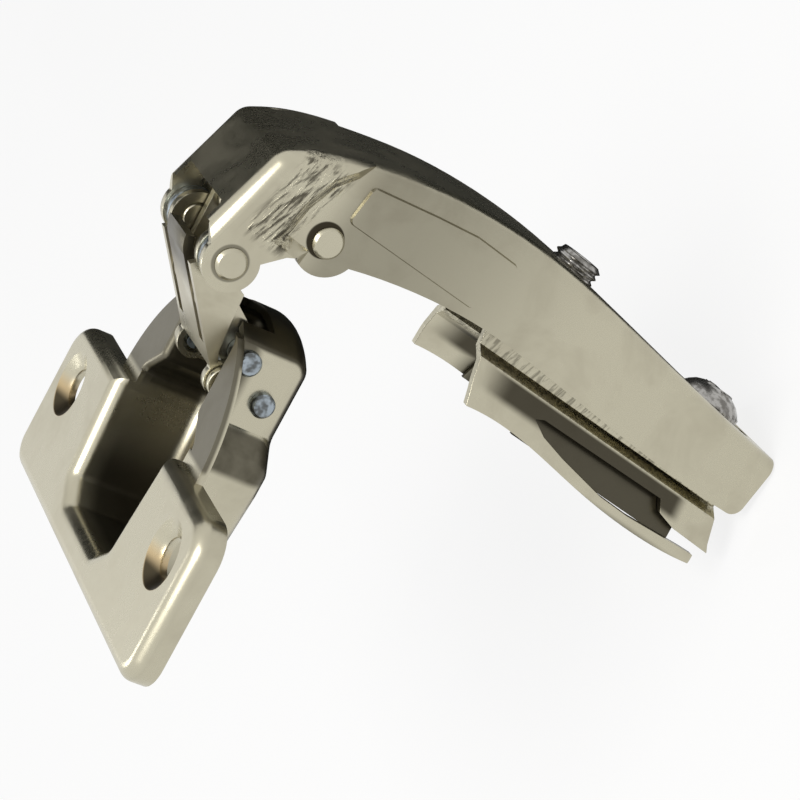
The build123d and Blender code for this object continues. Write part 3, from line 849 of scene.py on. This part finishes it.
def floor_material(stage):
    """Pale floor that the camera and the metal see nearly white."""
    paint = Paint("floor_paper")
    paint.set(Base_Color=tuple(stage.floor_colour), Roughness=0.9)
    glow = paint.node(
        "ShaderNodeEmission", {}, {"Color": tuple(stage.backdrop_colour), "Strength": 1.0}
    )
    lit = Value(paint, paint.shader.outputs[0])
    glow_share = 0.8
    mixed = paint.node("ShaderNodeMixShader", {}, {0: paint.seen() * glow_share, 1: lit, 2: glow})
    paint.put(paint.tree.nodes["Material Output"].inputs["Surface"], mixed)
    return paint.material


def flag_material():
    """Black studio cloth that only the metal's reflections see."""
    paint = Paint("black_cloth")
    weave = paint.noise(paint.place(), scale=0.02)
    darkest, lightest = (0.002, 0.003, 0.0015), (0.008, 0.009, 0.006)
    colour = paint.mix(weave, darkest, lightest)
    return paint.set(Base_Color=colour, Roughness=1.0)


def build_world(stage):
    """White all round for the camera and the metal, softer as a light."""
    world = bpy.data.worlds.new("studio")
    bpy.context.scene.world = world
    nodes = Nodes(world)
    back = nodes.tree.nodes["Background"]
    nodes.put(back.inputs["Color"], tuple(stage.backdrop_colour))
    nodes.put(back.inputs["Strength"], nodes.seen() * (1 - stage.fill_strength) + stage.fill_strength)


def build_camera():
    """Camera where the photograph was taken from."""
    data = bpy.data.cameras.new("camera")
    data.sensor_width = CAMERA_SENSOR
    data.lens = CAMERA_LENS
    data.clip_start = 0.01
    data.clip_end = 10.0
    camera = bpy.data.objects.new("camera", data)
    axes = Matrix((CAMERA_RIGHT, CAMERA_UP, CAMERA_BACK)).transposed()
    camera.matrix_world = Matrix.Translation(CAMERA_PLACE) @ axes.to_4x4()
    bpy.context.scene.collection.objects.link(camera)
    bpy.context.scene.camera = camera


class HINGE_OT_stage(bpy.types.Operator):
    """Builds the floor, the lights, the black cloth and the camera"""

    bl_idname = "hinge.stage"
    bl_label = "Stage"

    def execute(self, context):
        stage = context.scene.hinge_stage
        context.scene.view_settings.view_transform = "Standard"
        floor_gap = 0.2 * MM
        floor_reach = 3.0
        level = CAD_LOW.z - floor_gap
        middle = (CAD_LOW + CAD_HIGH) / 2
        corners = [
            (x * floor_reach, y * floor_reach, level) for x, y in ((-1, -1), (1, -1), (1, 1), (-1, 1))
        ]
        plate("floor", corners, floor_material(stage))
        # The cloth: a sheet that lies beside and behind the hinge, and one that stands at its end
        black = flag_material()
        wall = 0.34
        near = CAD_HIGH.y * 0.3
        left, right = middle.x - 0.035, middle.x + 0.36
        low, top = level + 2 * MM, middle.z + 0.36
        upright = [(left, wall, low), (right, wall, low), (right, wall, top), (left, wall, top)]
        flat = [(left, near, low), (right, near, low), (right, wall, low), (left, wall, low)]
        for name, corners in (("black_cloth_upright", upright), ("black_cloth_flat", flat)):
            card = plate(name, corners, black)
            card.visible_camera = False
            card.visible_diffuse = False
            card.visible_shadow = False
        build_world(stage)
        key_place, key_size, warm = Vector((0.0, -0.225, 0.425)), 0.24, (1.0, 0.985, 0.95)
        rim_place, rim_size = Vector((-0.25, 0.3, 0.35)), 0.12
        area_light("key", middle + key_place, middle, key_size, stage.key_power, warm)
        area_light("rim", middle + rim_place, middle, rim_size, stage.rim_power)
        build_camera()
        return {"FINISHED"}


class HINGE_PT_panel(bpy.types.Panel):
    """Lists the hinge's settings and steps"""

    bl_idname = "HINGE_PT_panel"
    bl_label = "Cup hinge"
    bl_space_type = "VIEW_3D"
    bl_region_type = "UI"
    bl_category = "Cup hinge"

    def draw(self, context):
        scene = context.scene
        for group in (scene.hinge_stage, scene.hinge_finish, scene.hinge_details):
            box = self.layout.box()
            for name in group.__annotations__:
                box.prop(group, name)
        for step in STEPS:
            self.layout.operator(step.bl_idname)


STEPS = (
    HINGE_OT_cup, HINGE_OT_links, HINGE_OT_arm, HINGE_OT_holder, HINGE_OT_screws, HINGE_OT_stage,
)
CLASSES = (StageSettings, FinishSettings, DetailSettings, *STEPS, HINGE_PT_panel)


def register():
    for kind in CLASSES:
        bpy.utils.register_class(kind)
    bpy.types.Scene.hinge_stage = PointerProperty(type=StageSettings)
    bpy.types.Scene.hinge_finish = PointerProperty(type=FinishSettings)
    bpy.types.Scene.hinge_details = PointerProperty(type=DetailSettings)


def unregister():
    del bpy.types.Scene.hinge_stage
    del bpy.types.Scene.hinge_finish
    del bpy.types.Scene.hinge_details
    for kind in reversed(CLASSES):
        bpy.utils.unregister_class(kind)


def main():
    register()
    bpy.ops.hinge.cup()
    bpy.ops.hinge.links()
    bpy.ops.hinge.arm()
    bpy.ops.hinge.holder()
    bpy.ops.hinge.screws()
    bpy.ops.hinge.stage()


if __name__ == "__main__":
    main()
